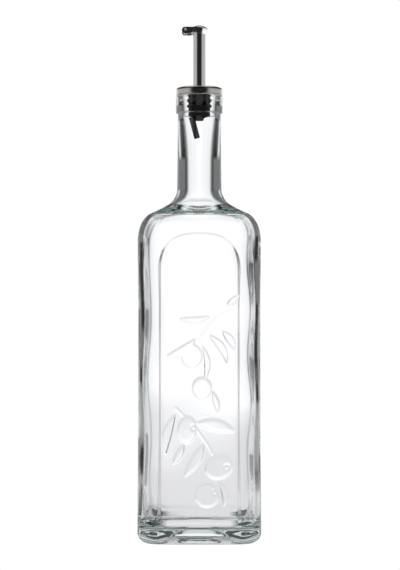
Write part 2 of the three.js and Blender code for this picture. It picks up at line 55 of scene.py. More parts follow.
# The bottle's sizes, from its CAD node where that gives them
bottle_high = node_box("bottle")[1]
BODY_HALF = bottle_high[0]
BOTTLE_TOP_Z = bottle_high[2]
BODY_CORNER = 12.0
WAIST_INSET = 0.4
WAIST_Z = (80.0, 150.0)
HEEL_RADIUS = 7.5
SHOULDER_START_Z = 196.0
SHOULDER_ARC_HALF = 27.0
SHOULDER_RISE = 20.0
SHOULDER_ARC_END = math.asin(0.94)
FILLET_ANGLE = math.radians(59)
NECK_RADIUS_LOW = 14.85
NECK_RADIUS_TOP = 14.2
NECK_FILLET = 12.7
NECK_START_Z = 231.9
FINISH_BOTTOM_Z = 281.7
FINISH_RADIUS = 15.5
MOUTH_RADIUS = 11.5
MOUTH_BOTTOM_Z = 280.0
MOUTH_STEP_Z = 290.0
MOUTH_STEP = 0.3
MOUTH_CHAMFER = 0.4
NECK_BORE = 9.5
NECK_BORE_TOP_Z = 250.0
WALL = 3.6
INNER_CORNER = 9.0
INNER_HEEL_RADIUS = 8.0
FLOOR_Z = 10.7
FLOOR_CROWN = 1.5
VAULT_CROWN = 8.0
VAULT_CROWN_HALF = 8.0
VAULT_FOOT = 2.5
BEARING_INNER = 30.0
BEARING_CORNER = 9.5
SHOULDER_THICKENING = 3.0
# How far out the rings of the vault are, as shares of the bearing rim's inner half-width
VAULT_SHARES = (0.1, 0.2, 0.3, 0.4, 0.5, 0.6, 0.7, 0.8, 0.9, 0.96, 0.985, 0.995)

# The recessed panel on each face
PANEL_HALF = 26.8
PANEL_BOTTOM_Z = 14.7
PANEL_ARCH_Z = 174.5
PANEL_ARCH_RISE = 27.3
PANEL_ARCH_POWER = 2.5
PANEL_DEPTH = 0.9
PANEL_BEVEL = 2.2
PANEL_FOOT_RADIUS = 4.0
PANEL_END_Z = 206.0
# Points further out than this are on a face. A panel's bevel starts a hair outside its face, so that
# the face round the panel stays where it is
FACE_OUT = 25.0
HAIR = 0.02

# Steps in height between the bottle's rings: at the panel's foot, over the sprigs, above them, in the arch
BEVEL_STEP = 0.45
RELIEF_STEP = 0.73
PLAIN_STEP = 2.5
ARCH_STEP = 0.75
RELIEF_TOP_Z = 163.0

# The uneven inner wall: a swell that changes from faces to corners, two drifts, and a slow wave on each side
WALL_SWELL = 0.35
LONG_DRIFT = 0.22
SHORT_DRIFT = 0.16
RIGHT_WAVE = {"depth": -0.9, "crest_z": 88, "length": 62}
LEFT_WAVE = {"depth": 0.7, "crest_z": 70, "length": 80}

# The raised sprigs on the front panel
LEAF_HEIGHT = 0.85
OLIVE_HEIGHT = 0.88
STEM_HEIGHT = 0.35
STEM_RADIUS = 0.85
LEAVES = [
    {"base": (25, 160.5), "tip": (17.5, 154), "bow": 0.8, "width": 4.5},
    {"base": (7.5, 147), "tip": (-14, 145.5), "bow": 2, "width": 4.6},
    {"base": (-2, 133), "tip": (-22, 121), "bow": 2.6, "width": 6},
    {"base": (1, 129), "tip": (2.5, 104), "bow": 3.4, "width": 4.2},
    {"base": (5.5, 135), "tip": (18, 116), "bow": 2.8, "width": 5.4},
    {"base": (14.5, 137.5), "tip": (23, 125), "bow": 1.2, "width": 5.4},
    {"base": (8, 99), "tip": (12, 84), "bow": 0.8, "width": 4.2},
    {"base": (-15, 84), "tip": (-21.4, 58), "bow": -2.4, "width": 6.2},
    {"base": (-1.5, 78.5), "tip": (23, 73), "bow": 1, "width": 8},
    {"base": (-9.8, 65), "tip": (-17, 52), "bow": 0.6, "width": 5},
    {"base": (3, 65), "tip": (-9.5, 44), "bow": 0.8, "width": 7},
    {"base": (11.5, 41.5), "tip": (15.2, 24.5), "bow": 3, "width": 4.6},
]
OLIVES = [
    {"centre": (-4.9, 121.3), "size": (13.5, 15.4), "turn": 0},
    {"centre": (1.7, 100.7), "size": (12.6, 14.2), "turn": 0},
    {"centre": (-7.9, 73.8), "size": (12.2, 17.3), "turn": -8},
    {"centre": (12.7, 50), "size": (18.3, 15), "turn": 20},
    {"centre": (4.9, 32), "size": (15.4, 15.4), "turn": 0},
]
# Small rings pressed into three olives: their centres and radius, and the groove's width and depth
PITS = [(-3.5, 75.7), (17.5, 50), (9.9, 34.2)]
PIT_RADIUS = 1.7
PIT_GROOVE = 0.55
PIT_DEPTH = 0.4
# Points along each stem
STEMS = [
    [(20, 152), (13, 149), (7.5, 144.5), (3, 138), (-0.5, 131.5)],
    [(-15, 88), (-9.2, 82), (-0.8, 73), (6.2, 63), (8.4, 58.5)],
]

# The pourer's sizes, from its CAD nodes where those give them
flange_low, flange_high = node_box("flange")
tube_low, tube_high = node_box("spout_tube")
plug_low, plug_high = node_box("plug")
pin_low, pin_high = node_box("hinge_pin")
flap_low = node_box("flap")[0]
FLANGE_RADIUS = flange_high[0]
TUBE_RADIUS = tube_high[0]
TUBE_BORE = 3.6
TUBE_SHARP_DEGREES = 30
LIP_CUT_Z = 334.9
LIP_CUT_X = 2.2
RIB_RADIUS = plug_high[0]
VALLEY_RADIUS = 6.9
TOOTH_RISE = 1.5
RIB_DROP = 3.3
RIB_PITCH = 3.2
PLUG_BORE = 4.5
PLUG_INLET = 1.6
PLUG_UNDERSIDE_Z = 280.6
NOSE_RADIUS = 2.8
AIR_TUBE_RADIUS = 1.95
AIR_TUBE_BORE = 1.1
AIR_TUBE_TOP = Vector((-5.2, 0, 279.6))
AIR_TUBE_END = Vector((-1.4, 0, 264.9))
PIVOT = Vector([(a + b) / 2 for a, b in zip(pin_low, pin_high)])
PIN_RADIUS = 0.7
PIN_HEAD_RADIUS = (pin_high[0] - pin_low[0]) / 2
PIN_HEAD = 0.4
PLATE_INNER = 4.5
PLATE_OUTER = 5.0
PLATE_HOLE = 1.0
LEVER_END_X = flap_low[0]
LEVER_BOTTOM_Z = flap_low[2]
LEVER_TOP_Z = 339.35
EAR_END_X = 2.1
EAR_BOTTOM_Z = 335.6
# The two bends where the lever's lower edge steps up to the ears
STEP_LOW = (-6.3, 1.2)
STEP_HIGH = (-4.3, 1)
LEVER_SKIN = 0.55
LEVER_EDGE = 0.12
LID_RADIUS = 5.25
LID_RIM = 0.5
LID_RISE = 1.83
LID_CENTRE = Vector((0.47, 0, 338.55))
LID_TILT = math.radians(5)
EYELET = Vector((-9.2, 0, 337.7))
EYELET_RADIUS = 1.1
EYELET_HOLE = 0.5
EYELET_HALF_LENGTH = 0.65

# The camera, with the eye's place in metres and the lens and sensor in millimetres
EYE = (0.000465, -1.180, 0.138)
EYE_PITCH = math.radians(1.45)
LENS = 112.2
SENSOR_WIDTH = 36

# Pieces are turned round Z and then laid in their own direction
UPRIGHT = Vector((0, 0, 1))
ALONG_Y = UPRIGHT.rotation_difference(Vector((0, 1, 0)))
# A face of a softened piece stays flat where it is larger than this, in square metres
FLAT_AREA = 8e-6


# Meshes
def make_piece(name, points, faces, sharp_degrees=40):
    """A smooth-shaded mesh object from points in millimetres, with its sharp edges kept."""
    mesh = bpy.data.meshes.new(name)
    mesh.from_pydata((np.asarray(points, float) * MM).tolist(), [], faces)
    mesh.validate()
    mesh.shade_smooth()
    mesh.set_sharp_from_angle(angle=math.radians(sharp_degrees))
    piece = bpy.data.objects.new(name, mesh)
    bpy.context.scene.collection.objects.link(piece)
    return piece


def turned(name, profile, segments=96, sharp_degrees=40):
    """Turns a profile of (radius, z) round Z. It closes on itself, or starts and ends on the axis."""
    rows = []
    points = []
    for radius, z in profile:
        if radius < 1e-6:
            rows.append([len(points)] * segments)
            points.append((0, 0, z))
            continue
        rows.append([len(points) + i for i in range(segments)])
        for i in range(segments):
            angle = 2 * math.pi * i / segments
            points.append((radius * math.cos(angle), radius * math.sin(angle), z))
    closed = profile[0][0] > 1e-6
    pairs = list(zip(rows, rows[1:])) + ([(rows[-1], rows[0])] if closed else [])
    faces = []
    for low, high in pairs:
        for i in range(segments):
            j = (i + 1) % segments
            corners = [low[i], low[j], high[j], high[i]]
            face = [c for k, c in enumerate(corners) if c not in corners[:k]]
            if len(face) > 2:
                faces.append(face)
    return make_piece(name, points, faces, sharp_degrees)


def arc(centre, radius, start, end, steps):
    """Points on an arc in a profile, with angles in degrees from the outward direction."""
    angles = [math.radians(start + (end - start) * k / steps) for k in range(steps + 1)]
    return [(centre[0] + radius * math.cos(a), centre[1] + radius * math.sin(a)) for a in angles]


def keep_result(piece):
    """Puts the result of a piece's modifiers into its mesh."""
    graph = bpy.context.evaluated_depsgraph_get()
    mesh = bpy.data.meshes.new_from_object(piece.evaluated_get(graph))
    piece.modifiers.clear()
    piece.data = mesh
    return piece


def cut_out(piece, cutter):
    """Cuts one closed mesh out of another, and removes the cutter."""
    cut = piece.modifiers.new("cut", "BOOLEAN")
    cut.operation = "DIFFERENCE"
    cut.solver = "EXACT"
    cut.object = cutter
    keep_result(piece)
    bpy.data.objects.remove(cutter)


def block(name, low, high):
    """A box, used only to cut with."""
    corners = [(x, y, z) for x in (low[0], high[0]) for y in (low[1], high[1]) for z in (low[2], high[2])]
    faces = [(0, 1, 3, 2), (4, 6, 7, 5), (0, 4, 5, 1), (2, 3, 7, 6), (0, 2, 6, 4), (1, 5, 7, 3)]
    return make_piece(name, corners, faces)


def move_mesh(piece, turn, shift):
    """Turns a piece's mesh, then moves it by millimetres."""
    piece.data.transform(turn.to_matrix().to_4x4())
    for vertex in piece.data.vertices:
        vertex.co += shift * MM
    return piece


def cross_bar(name, radius, half_length, at, segments=48):
    """A round bar along Y through a point."""
    profile = [(0, -half_length), (radius, -half_length), (radius, half_length), (0, half_length)]
    return move_mesh(turned(name, profile, segments), ALONG_Y, at)


def soften_edges(piece, width):
    """Rounds a piece's edges, and keeps its large faces flat."""
    bevel = piece.modifiers.new("edges", "BEVEL")
    bevel.width = width * MM
    bevel.segments = 2
    bevel.limit_method = "ANGLE"
    bevel.angle_limit = math.radians(35)
    keep_result(piece)
    piece.data.shade_smooth()
    piece.data.set_sharp_from_angle(angle=math.radians(40))
    for face in piece.data.polygons:
        face.use_smooth = face.area < FLAT_AREA


# The bottle
def face_offsets(count):
    """Places across a plain face: sparse on the flat and close together on the panel's bevel."""
    flat = np.linspace(0, PANEL_HALF - PANEL_BEVEL - 2, 5)
    bevel = np.linspace(PANEL_HALF - PANEL_BEVEL - 0.6, PANEL_HALF + 0.6, count)
    side = np.concatenate([flat, bevel])
    return np.concatenate([-side[:0:-1], side])


def ring_angles():
    """Directions of one ring's points, close together on the front panel, the bevels and the corners."""
    fine = np.linspace(-PANEL_HALF - 0.6, PANEL_HALF + 0.6, 117)
    coarse = face_offsets(6)
    core = BODY_HALF - BODY_CORNER
    bend = np.radians(np.linspace(0, 90, 10))
    corner = np.arctan2(core + BODY_CORNER * np.sin(bend), core + BODY_CORNER * np.cos(bend))
    angles = []
    for quarter in range(4):
        start = -math.pi / 2 + quarter * math.pi / 2
        across = fine if quarter == 0 else coarse
        angles.append(start + np.arctan2(across, BODY_HALF))
        angles.append(start + corner)
    return np.concatenate(angles)


def square_radius(angles, half, corner):
    """Distance from the axis to a rounded square, in each direction."""
    c = np.maximum(abs(np.cos(angles)), abs(np.sin(angles)))
    s = np.minimum(abs(np.cos(angles)), abs(np.sin(angles)))
    core = half - corner
    along = core * (c + s)
    root = np.sqrt(np.maximum(along**2 - (2 * core**2 - corner**2), 0))
    return np.where(half / c * s <= core, half / c, along + root)


def smooth(edge0, edge1, value):
    """A soft step from 0 to 1 between two edges."""
    t = np.clip((value - edge0) / (edge1 - edge0), 0, 1)
    return t * t * (3 - 2 * t)


def blended_corner(half, circle_half, full_half, full_corner):
    """A ring's corner radius: a circle at the neck, and the body's corner at full width."""
    t = smooth(circle_half, full_half, half)
    return half + (full_corner - half) * t


def waist(z):
    """How far the sides draw in at a height."""
    return WAIST_INSET * smooth(HEEL_RADIUS, WAIST_Z[0], z) * (1 - smooth(WAIST_Z[1], SHOULDER_START_Z, z))


def heel(half, corner, radius, low_z, steps):
    """Rings round the curve from the underside up to the sides."""
    rings = []
    for k in range(steps + 1):
        a = math.pi / 2 * k / steps
        inset = radius * (1 - math.sin(a))
        rings.append((half - inset, corner - 0.4 * inset, low_z + radius * (1 - math.cos(a))))
    return rings


def shoulder(half, corner, rise, neck_radius, fillet, arc_steps, slope_steps, fillet_steps, start=0.0):
    """Rings from the body's top to the neck: an elliptic arc, a straight slope and a fillet."""

    def on_fillet(angle):
        return neck_radius + fillet * (1 - math.cos(angle)), NECK_START_Z - fillet * math.sin(angle)

    outline = []
    for k in range(arc_steps + 1):
        a = start + (SHOULDER_ARC_END - start) * k / arc_steps
        reach = SHOULDER_ARC_HALF + (half - SHOULDER_ARC_HALF) * math.cos(a)
        outline.append((reach, SHOULDER_START_Z + rise * math.sin(a)))
    foot = on_fillet(FILLET_ANGLE)
    head = outline[-1]
    for k in range(1, slope_steps):
        t = k / slope_steps
        outline.append((head[0] + (foot[0] - head[0]) * t, head[1] + (foot[1] - head[1]) * t))
    for k in range(fillet_steps + 1):
        outline.append(on_fillet(FILLET_ANGLE * (1 - k / fillet_steps)))
    return [(h, blended_corner(h, neck_radius, half, corner), z) for h, z in outline]


def outer_rings():
    """Rings of the outside, from the middle of the base up to the mouth's rim."""
    rings = []
    for share in VAULT_SHARES:
        rings.append((BEARING_INNER * share, BEARING_CORNER * share**2, VAULT_CROWN))
    rings.append((BEARING_INNER + 0.05, BEARING_CORNER, 0.15))
    rings.append((BEARING_INNER + 0.3, BEARING_CORNER, 0))
    rings += heel(BODY_HALF, BODY_CORNER, HEEL_RADIUS, 0, 14)
    sparse = np.arange(HEEL_RADIUS + 1.5, PANEL_BOTTOM_Z - 0.6, 1.5)
    bevel = np.arange(PANEL_BOTTOM_Z - 0.6, PANEL_BOTTOM_Z + PANEL_BEVEL + 0.6, BEVEL_STEP)
    relief = np.arange(bevel[-1] + 0.7, RELIEF_TOP_Z, RELIEF_STEP)
    plain = np.arange(relief[-1] + PLAIN_STEP, PANEL_ARCH_Z - 2, PLAIN_STEP)
    crown = np.arange(PANEL_ARCH_Z, PANEL_ARCH_Z + PANEL_ARCH_RISE + 1.6, ARCH_STEP)
    for z in np.concatenate([sparse, bevel, relief, plain, crown]):
        rise = max(z - SHOULDER_START_Z, 0) / SHOULDER_RISE
        half = SHOULDER_ARC_HALF + (BODY_HALF - SHOULDER_ARC_HALF) * math.sqrt(1 - rise**2) - waist(z)
        rings.append((half, blended_corner(half + waist(z), NECK_RADIUS_LOW, BODY_HALF, BODY_CORNER), z))
    start = math.asin((rings[-1][2] + 0.6 - SHOULDER_START_Z) / SHOULDER_RISE)
    rings += shoulder(BODY_HALF, BODY_CORNER, SHOULDER_RISE, NECK_RADIUS_LOW, NECK_FILLET, 12, 6, 14, start)
    for k in range(1, 8):
        t = k / 8
        radius = NECK_RADIUS_LOW + (NECK_RADIUS_TOP - NECK_RADIUS_LOW) * t
        rings.append((radius, radius, NECK_START_Z + (FINISH_BOTTOM_Z - NECK_START_Z) * t))
    finish = [(NECK_RADIUS_TOP, FINISH_BOTTOM_Z - 0.6)]
    finish += [(NECK_RADIUS_TOP + 0.25, FINISH_BOTTOM_Z - 0.1)]
    finish += arc((FINISH_RADIUS - 1.1, FINISH_BOTTOM_Z + 1.1), 1.1, -80, 0, 7)
    finish += [(FINISH_RADIUS, BOTTLE_TOP_Z - 3)]
    finish += arc((FINISH_RADIUS - 0.9, BOTTLE_TOP_Z - 0.9), 0.9, 0, 90, 7)
    rings += [(radius, radius, z) for radius, z in finish]
    return rings


def inner_rings():
    """Rings of the hollow, from the mouth down to the floor."""
    half = BODY_HALF - WALL
    rings = []
    for share in (0.06, 0.2, 0.4, 0.6, 0.75, 0.88):
        flat = (half - INNER_HEEL_RADIUS) * share
        rings.append((flat, flat * (0.9 - 0.6 * share), FLOOR_Z + FLOOR_CROWN * (1 - share**2)))
    rings += heel(half, INNER_CORNER, INNER_HEEL_RADIUS, FLOOR_Z, 12)
    for z in np.arange(FLOOR_Z + INNER_HEEL_RADIUS + 5, SHOULDER_START_Z, 5.5):
        rings.append((half, INNER_CORNER, z))
    fillet = NECK_FILLET + NECK_RADIUS_LOW - NECK_BORE
    rings += shoulder(half, INNER_CORNER, SHOULDER_RISE - SHOULDER_THICKENING, NECK_BORE, fillet, 10, 5, 12)
    bore = [(NECK_BORE, 238), (NECK_BORE, 245)]
    for k in range(13):
        t = k / 12
        z = NECK_BORE_TOP_Z + (MOUTH_BOTTOM_Z - NECK_BORE_TOP_Z) * t
        bore.append((NECK_BORE + (MOUTH_RADIUS - NECK_BORE) * t**1.6, z))
    lip = MOUTH_RADIUS + MOUTH_STEP
    bore += [(MOUTH_RADIUS + 0.05, 285), (MOUTH_RADIUS + 0.08, MOUTH_STEP_Z - 0.15)]
    bore += [(MOUTH_RADIUS + 0.12, MOUTH_STEP_Z)]
    bore += [(lip - 0.05, MOUTH_STEP_Z + 0.25), (lip, MOUTH_STEP_Z + 0.4)]
    bore += arc((lip + MOUTH_CHAMFER, BOTTLE_TOP_Z - MOUTH_CHAMFER), MOUTH_CHAMFER, 180, 90, 5)
    rings += [(radius, radius, z) for radius, z in bore]
    return rings[::-1]


def leaf_height(u, z, leaf):
    """Height of a leaf above the panel: pointed ends, a bowed midline and soft edges."""
    base = np.array(leaf["base"], float)
    along = np.array(leaf["tip"], float) - base
    length = np.hypot(*along)
    side = np.array([-along[1], along[0]]) / length
    t = ((u - base[0]) * along[0] + (z - base[1]) * along[1]) / length**2
    inside = np.clip(t, 0, 1)
    offset = (u - base[0]) * side[0] + (z - base[1]) * side[1] - leaf["bow"] * 4 * inside * (1 - inside)
    reach = leaf["width"] / 2 * np.sin(np.pi * inside) ** 0.8
    edge = reach - abs(offset)
    dome = smooth(0, 0.75, edge) * (0.85 + 0.15 * smooth(0, 2.5, edge))
    return LEAF_HEIGHT * np.where((t > 0) & (t < 1), dome, 0)


def olive_height(u, z, olive):
    """Height of an olive: a steep edge and a low dome."""
    turn = math.radians(olive["turn"])
    dx, dz = u - olive["centre"][0], z - olive["centre"][1]
    a = (dx * math.cos(turn) + dz * math.sin(turn)) / (olive["size"][0] / 2)
    b = (dz * math.cos(turn) - dx * math.sin(turn)) / (olive["size"][1] / 2)
    q = np.clip(np.hypot(a, b), 0, 1)
    return OLIVE_HEIGHT * (0.78 * (1 - q**16) ** 0.7 + 0.22 * (1 - q**2))


def stem_height(u, z, stem):
    """Height of a thin stem along its points."""
    nearest = np.full(u.shape, 99.0)
    for (x0, z0), (x1, z1) in zip(stem, stem[1:]):
        dx, dz = x1 - x0, z1 - z0
        t = np.clip(((u - x0) * dx + (z - z0) * dz) / (dx * dx + dz * dz), 0, 1)
        nearest = np.minimum(nearest, np.hypot(u - x0 - dx * t, z - z0 - dz * t))
    return STEM_HEIGHT * (1 - smooth(0.15, STEM_RADIUS, nearest))


def relief_height(u, z):
    """Height of the sprigs above the panel, with the rings pressed into the olives."""
    height = np.zeros(u.shape)
    for leaf in LEAVES:
        height = np.maximum(height, leaf_height(u, z, leaf))
    for olive in OLIVES:
        height = np.maximum(height, olive_height(u, z, olive))
    for stem in STEMS:
        height = np.maximum(height, stem_height(u, z, stem))
    for x, up in PITS:
        reach = np.hypot(u - x, z - up) - PIT_RADIUS
        height = np.maximum(height - PIT_DEPTH * np.exp(-((reach / PIT_GROOVE) ** 2)), 0)
    return height


def panel_reach(u, z):
    """How far a place is inside the panel's outline."""
    up = np.maximum(z - PANEL_ARCH_Z, 0) / PANEL_ARCH_RISE
    power = PANEL_ARCH_POWER
    arch = ((abs(u) / PANEL_HALF) ** power + up**power) ** (1 / power)
    sides = (1 - arch) * PANEL_HALF
    foot = z - PANEL_BOTTOM_Z
    beside = np.minimum(sides - PANEL_FOOT_RADIUS, 0)
    above = np.minimum(foot - PANEL_FOOT_RADIUS, 0)
    rounded = PANEL_FOOT_RADIUS - np.hypot(beside, above)
    return np.minimum(np.minimum(sides, foot), rounded)


def sink_panels(points):
    """Sinks the arched panel into each face, and raises the sprigs on the front one."""
    for axis, sign in ((1, -1), (0, 1), (1, 1), (0, -1)):
        across, out = points[:, 1 - axis], points[:, axis] * sign
        z = points[:, 2]
        here = (out > FACE_OUT) & (abs(across) < PANEL_HALF + 1) & (z > HEEL_RADIUS) & (z < PANEL_END_Z)
        depth = np.clip(panel_reach(across[here], z[here]) / PANEL_BEVEL, 0, 1)
        depth = 0.7 * depth + 0.3 * smooth(0, 1, depth)
        surface = np.minimum(out[here], BODY_HALF + HAIR - (PANEL_DEPTH + HAIR) * depth)
        if (axis, sign) == (1, -1):
            surface = surface + relief_height(across[here], z[here])
        points[here, axis] = sign * np.minimum(surface, BODY_HALF)


def raise_vault(points):
    """Shapes the recess under the base: two crossing roofs that come down towards the corners."""
    nearer = np.minimum(abs(points[:, 0]), abs(points[:, 1]))
    up = np.clip((BEARING_INNER - nearer) / (BEARING_INNER - VAULT_CROWN_HALF), 0, 1)
    points[:, 2] = VAULT_FOOT + (VAULT_CROWN - VAULT_FOOT) * up


def side_wave(toward, z, wave):
    """A slow wave up one side of the hollow, strongest in the middle of the side."""
    strength = np.clip(toward, 0, 1) ** 2 * wave["depth"]
    return strength * np.cos(2 * np.pi * (z - wave["crest_z"]) / wave["length"])


def uneven_wall(points):
    """Moves the hollow's wall in and out by a few tenths, as blown glass is uneven."""
    angle = np.arctan2(points[:, 1], points[:, 0])
    z = points[:, 2]
    strength = smooth(FLOOR_Z + 6, FLOOR_Z + 30, z) * (1 - smooth(SHOULDER_START_Z, 222, z))
    swell = np.cos(4 * angle) * WALL_SWELL
    drift = LONG_DRIFT * np.sin(z / 17 + 2.1 * np.sin(angle)) + SHORT_DRIFT * np.sin(z / 9.3 + 3 * angle + 1)
    right = side_wave(np.cos(angle), z, RIGHT_WAVE)
    left = side_wave(-np.cos(angle), z, LEFT_WAVE)
    inward = strength * (swell + drift + right + left)
    radius = np.hypot(points[:, 0], points[:, 1])
    scale = 1 - inward / np.maximum(radius, 1)
    points[:, 0] *= scale
    points[:, 1] *= scale


def ring_points(rings, angles):
    """The points of all rings, in millimetres."""
    rows = []
    for half, corner, z in rings:
        radius = square_radius(angles, half, min(corner, half))
        level = np.full(len(angles), z)
        rows.append(np.stack([radius * np.cos(angles), radius * np.sin(angles), level], 1))
    return np.concatenate(rows)


def bottle():
    """One closed surface: up the outside, over the mouth and down the hollow to its floor."""
    angles = ring_angles()
    outside, inside = outer_rings(), inner_rings()
    outer, inner = ring_points(outside, angles), ring_points(inside, angles)
    raise_vault(outer[:len(VAULT_SHARES) * len(angles)])
    sink_panels(outer)
    uneven_wall(inner)
    under = np.array([[0, 0, VAULT_CROWN]])
    floor = np.array([[0, 0, FLOOR_Z + FLOOR_CROWN]])
    points = np.concatenate([under, outer, inner, floor])
    count, rows = len(angles), len(outside) + len(inside)
    step = np.arange(count)
    after = (step + 1) % count
    faces = np.stack([np.zeros(count, int), 1 + after, 1 + step], 1).tolist()
    for k in range(rows - 1):
        low = 1 + k * count
        high = low + count
        faces += np.stack([low + step, low + after, high + after, high + step], 1).tolist()
    last = 1 + (rows - 1) * count
    faces += np.stack([last + step, last + after, np.full(count, len(points) - 1)], 1).tolist()
    return make_piece("bottle_glass", points, faces, sharp_degrees=62)


# The pourer
def flange():
    """The cap on the rim, with a hole that the tube stands in."""
    z0, z1 = flange_low[2], flange_high[2] - 0.25
    profile = [(TUBE_RADIUS + 0.05, z0), (RIB_RADIUS + 1, z0), (FLANGE_RADIUS - 0.8, z0)]
    profile += arc((FLANGE_RADIUS - 0.4, z0 + 0.4), 0.4, -90, 60, 6)
    profile += [(FLANGE_RADIUS - 0.18, z0 + 0.95), (FLANGE_RADIUS - 0.05, z0 + 1.15)]
    profile += [(FLANGE_RADIUS, z0 + 1.35), (FLANGE_RADIUS, z0 + 1.6), (FLANGE_RADIUS, z1 - 2)]
    profile += arc((FLANGE_RADIUS - 1.8, z1 - 1.8), 1.8, 0, 88, 12)
    profile += [(TUBE_RADIUS + 1.1, z1 + 0.1)]
    profile += arc((TUBE_RADIUS + 1.1, z1 + 1.1), 1.0, -90, -170, 6)
    return turned("flange_cap", profile, 160, 50)


def plug():
    """Saw-toothed ribs, a groove, a rim and a conical nose, bored for the tube."""
    top, nose = plug_high[2], plug_low[2]
    profile = [(PLUG_BORE, top), (RIB_RADIUS - 0.7, top), (RIB_RADIUS - 0.55, top - 0.3)]
    for rib in range(2):
        z = top - RIB_DROP - rib * RIB_PITCH
        profile += [(VALLEY_RADIUS + 0.15, z + TOOTH_RISE), (VALLEY_RADIUS + 0.2, z + TOOTH_RISE - 0.3)]
        profile += arc((RIB_RADIUS - 0.2, z), 0.2, 60, -60, 5)
    low = top - RIB_DROP - 2 * RIB_PITCH + 0.6
    profile += [(VALLEY_RADIUS + 0.2, low + 1.2), (VALLEY_RADIUS + 0.4, low + 0.2)]
    profile += [(VALLEY_RADIUS + 0.3, low)]
    profile += [(VALLEY_RADIUS - 0.4, low - 0.15), (VALLEY_RADIUS - 0.4, low - 0.75)]
    rim = low - 1.2
    profile += arc((VALLEY_RADIUS + 0.15, rim), 0.35, 80, -20, 5)
    profile += [(VALLEY_RADIUS + 0.45, PLUG_UNDERSIDE_Z + 0.2), (VALLEY_RADIUS + 0.2, PLUG_UNDERSIDE_Z)]
    profile += [(NOSE_RADIUS + 0.9, PLUG_UNDERSIDE_Z - 1.6), (NOSE_RADIUS + 0.3, PLUG_UNDERSIDE_Z - 2.1)]
    profile += arc((NOSE_RADIUS - 0.6, nose + 0.6), 0.6, 0, -90, 5)
    profile += [(PLUG_INLET, nose), (PLUG_INLET, tube_low[2] - 0.3), (PLUG_BORE, tube_low[2] - 0.3)]
    return turned("ribbed_plug", profile, 128, 35)


def air_tube():
    """The leaning vent tube, with a blind bore at its end."""
    axis = AIR_TUBE_END - AIR_TUBE_TOP
    length = axis.length
    radius, bore = AIR_TUBE_RADIUS, AIR_TUBE_BORE
    profile = [(0, 0), (radius, 0), (radius, length - 0.5)]
    profile += arc((radius - 0.5, length - 0.5), 0.5, 0, 80, 5)
    profile += [(bore, length - 0.05), (bore, length - 3), (0, length - 3)]
    tube = turned("vent_tube", profile, 64, 50)
    return move_mesh(tube, UPRIGHT.rotation_difference(axis), AIR_TUBE_TOP)


def spout_tube():
    """The tube, with its lip cut back on the pouring side and drilled for the pin."""
    low, high = tube_low[2], tube_high[2]
    profile = [(TUBE_BORE, low), (TUBE_RADIUS, low), (TUBE_RADIUS, high - 0.15)]
    profile += [(TUBE_RADIUS - 0.15, high), (TUBE_BORE + 0.15, high), (TUBE_BORE, high - 0.15)]
    tube = turned("spout", profile, 128, TUBE_SHARP_DEGREES)
    reach = 6
    outside = (LIP_CUT_X + reach, reach, high + reach)
    cut_out(tube, block("lip_cut", (LIP_CUT_X, -reach, LIP_CUT_Z), outside))
    cut_out(tube, cross_bar("pin_drill", PLATE_HOLE, reach, PIVOT))
    tube.data.set_sharp_from_angle(angle=math.radians(TUBE_SHARP_DEGREES))
    return tube


def hinge_pin():
    """The pin, with a rounded head at both ends."""
    end = pin_high[1]
    profile = [(0, -end)]
    profile += arc((PIN_HEAD_RADIUS - 0.25, -end + 0.25), 0.25, -90, 0, 4)
    profile += [(PIN_HEAD_RADIUS, -end + PIN_HEAD), (PIN_RADIUS, -end + PIN_HEAD)]
    profile += [(PIN_RADIUS, end - PIN_HEAD), (PIN_HEAD_RADIUS, end - PIN_HEAD)]
    profile += arc((PIN_HEAD_RADIUS - 0.25, end - 0.25), 0.25, 0, 90, 4)
    profile += [(0, end)]
    pin = turned("pivot_pin", profile, 48, 50)
    return move_mesh(pin, ALONG_Y, PIVOT)


def plate_outline():
    """Side view of the lever: its rounded end, the step up to the ears and the ears' round end."""
    lever = (LEVER_TOP_Z - LEVER_BOTTOM_Z) / 2
    ear = (LEVER_TOP_Z - EAR_BOTTOM_Z) / 2
    outline = arc((LEVER_END_X + lever, LEVER_BOTTOM_Z + lever), lever, 90, 270, 20)
    x, radius = STEP_LOW
    outline += arc((x, LEVER_BOTTOM_Z + radius), radius, -90, -45, 5)
    x, radius = STEP_HIGH
    outline += arc((x, EAR_BOTTOM_Z - radius), radius, 135, 90, 5)
    outline += arc((EAR_END_X - ear, EAR_BOTTOM_Z + ear), ear, -90, 90, 18)
    return outline


def lever():
    """A folded channel: a roof over the thumb's end, and an ear on each side of the tube."""
    outline = plate_outline()
    count = len(outline)
    points = [(x, y, z) for y in (-PLATE_OUTER, PLATE_OUTER) for x, z in outline]
    faces = [list(range(count))[::-1], list(range(count, 2 * count))]
    faces += [[i, (i + 1) % count, count + (i + 1) % count, count + i] for i in range(count)]
    piece = make_piece("lever", points, faces, 40)
    roof = LEVER_TOP_Z - LEVER_SKIN
    below = (LEVER_END_X - 1, -PLATE_INNER, LEVER_BOTTOM_Z - 1)
    cut_out(piece, block("inside", below, (6, PLATE_INNER, roof)))
    cut_out(piece, cross_bar("pin_hole", PLATE_HOLE, 8, PIVOT))
    cut_out(piece, cross_bar("eyelet_seat", EYELET_RADIUS - 0.15, 8, EYELET))
    soften_edges(piece, LEVER_EDGE)
    return piece


